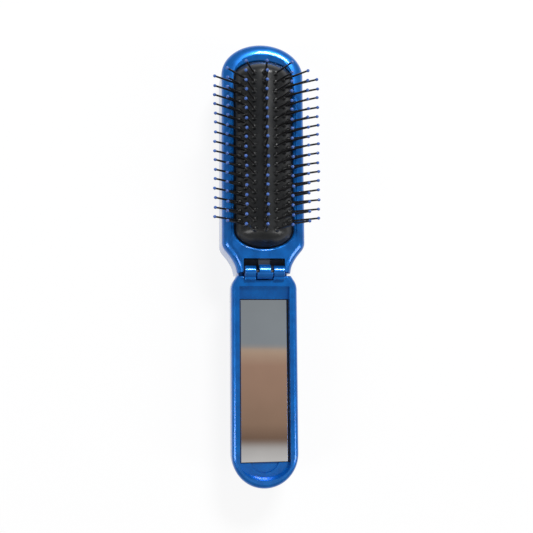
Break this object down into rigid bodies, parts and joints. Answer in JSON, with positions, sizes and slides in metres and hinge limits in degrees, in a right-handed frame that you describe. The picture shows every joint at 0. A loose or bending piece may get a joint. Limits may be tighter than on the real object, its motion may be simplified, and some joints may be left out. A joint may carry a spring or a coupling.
{
  "type": "folding hairbrush with mirror",
  "caption": "Folding pocket hairbrush: a round-ended head with a crowned rubber pad and ball-tipped pins that sink when it closes, hinged to a handle with an inset mirror.",
  "frame": {"origin": "under the middle of the open brush, on the surface that its back lies on", "axes": "+Y along the brush to the tip of the head, +Z out of the pins and the mirror, +X to the right as seen from the front"},
  "size_m": [0.0468, 0.2, 0.0481],
  "materials": {
    "pearl_blue_plastic": "glossy metallic-pearl moulded plastic",
    "black_rubber": "satin moulded rubber",
    "black_nylon": "semi-gloss nylon",
    "blue_ball_tips": "glossy dipped tips",
    "bright_steel": "plated",
    "mirror_glass": "silvered glass with a ground edge",
    "adhesive_pad": "thin black foam"
  },
  "bodies": {
    "head": {"head_back_shell": "pearl_blue_plastic", "head_bezel": "pearl_blue_plastic", "pad_retainer": "black_nylon", "pad_membrane": "black_rubber", "hinge_pin": "bright_steel", "lift_spring_upper": "bright_steel", "lift_spring_lower": "bright_steel", "head_screws": "bright_steel"},
    "handle": {"handle_back_shell": "pearl_blue_plastic", "handle_frame": "pearl_blue_plastic", "mirror_glass": "mirror_glass", "mirror_pad": "adhesive_pad", "handle_screws": "bright_steel"},
    "bed": {"pin_bed": "black_nylon", "centre_pins": "black_nylon", "centre_tips": "blue_ball_tips"},
    "left_comb_1": {"left_pins_1": "black_nylon", "left_tips_1": "blue_ball_tips"},
    "left_comb_2": {"left_pins_2": "black_nylon", "left_tips_2": "blue_ball_tips"},
    "left_comb_3": {"left_pins_3": "black_nylon", "left_tips_3": "blue_ball_tips"},
    "right_comb_1": {"right_pins_1": "black_nylon", "right_tips_1": "blue_ball_tips"},
    "right_comb_2": {"right_pins_2": "black_nylon", "right_tips_2": "blue_ball_tips"},
    "right_comb_3": {"right_pins_3": "black_nylon", "right_tips_3": "blue_ball_tips"}
  },
  "joints": [
    {"name": "fold", "type": "hinge", "parent": "head", "child": "handle", "pos_m": [0, -0.0052, 0.0262], "axis": [-1, 0, 0], "range_deg": [0, 180]},
    {"name": "bed_lift", "type": "slide", "parent": "head", "child": "bed", "axis": [0, 0, 1], "range_m": [-0.01835, 0], "deforming": ["pad_membrane", "lift_spring_upper", "lift_spring_lower"]},
    {"name": "left_comb_1_turn", "type": "hinge", "parent": "bed", "child": "left_comb_1", "pos_m": [-0.00367, 0.04, 0.02802], "axis": [0, 1, 0], "range_deg": [0, 21.5]},
    {"name": "left_comb_2_turn", "type": "hinge", "parent": "bed", "child": "left_comb_2", "pos_m": [-0.0065, 0.04, 0.02653], "axis": [0, 1, 0], "range_deg": [0, 40.2]},
    {"name": "left_comb_3_turn", "type": "hinge", "parent": "bed", "child": "left_comb_3", "pos_m": [-0.00838, 0.04, 0.02478], "axis": [0, 1, 0], "range_deg": [0, 55.6]},
    {"name": "right_comb_1_turn", "type": "hinge", "parent": "bed", "child": "right_comb_1", "pos_m": [0.00367, 0.04, 0.02802], "axis": [0, 1, 0], "range_deg": [-21.5, 0]},
    {"name": "right_comb_2_turn", "type": "hinge", "parent": "bed", "child": "right_comb_2", "pos_m": [0.0065, 0.04, 0.02653], "axis": [0, 1, 0], "range_deg": [-40.2, 0]},
    {"name": "right_comb_3_turn", "type": "hinge", "parent": "bed", "child": "right_comb_3", "pos_m": [0.00838, 0.04, 0.02478], "axis": [0, 1, 0], "range_deg": [-55.6, 0]}
  ],
  "couplings": [
    {"joint": "fold", "follows": "bed_lift", "rad_per_m": -171.2},
    {"joint": "left_comb_1_turn", "follows": "bed_lift", "rad_per_m": -20.449},
    {"joint": "left_comb_2_turn", "follows": "bed_lift", "rad_per_m": -38.236},
    {"joint": "left_comb_3_turn", "follows": "bed_lift", "rad_per_m": -52.883},
    {"joint": "right_comb_1_turn", "follows": "bed_lift", "rad_per_m": 20.449},
    {"joint": "right_comb_2_turn", "follows": "bed_lift", "rad_per_m": 38.236},
    {"joint": "right_comb_3_turn", "follows": "bed_lift", "rad_per_m": 52.883}
  ]
}
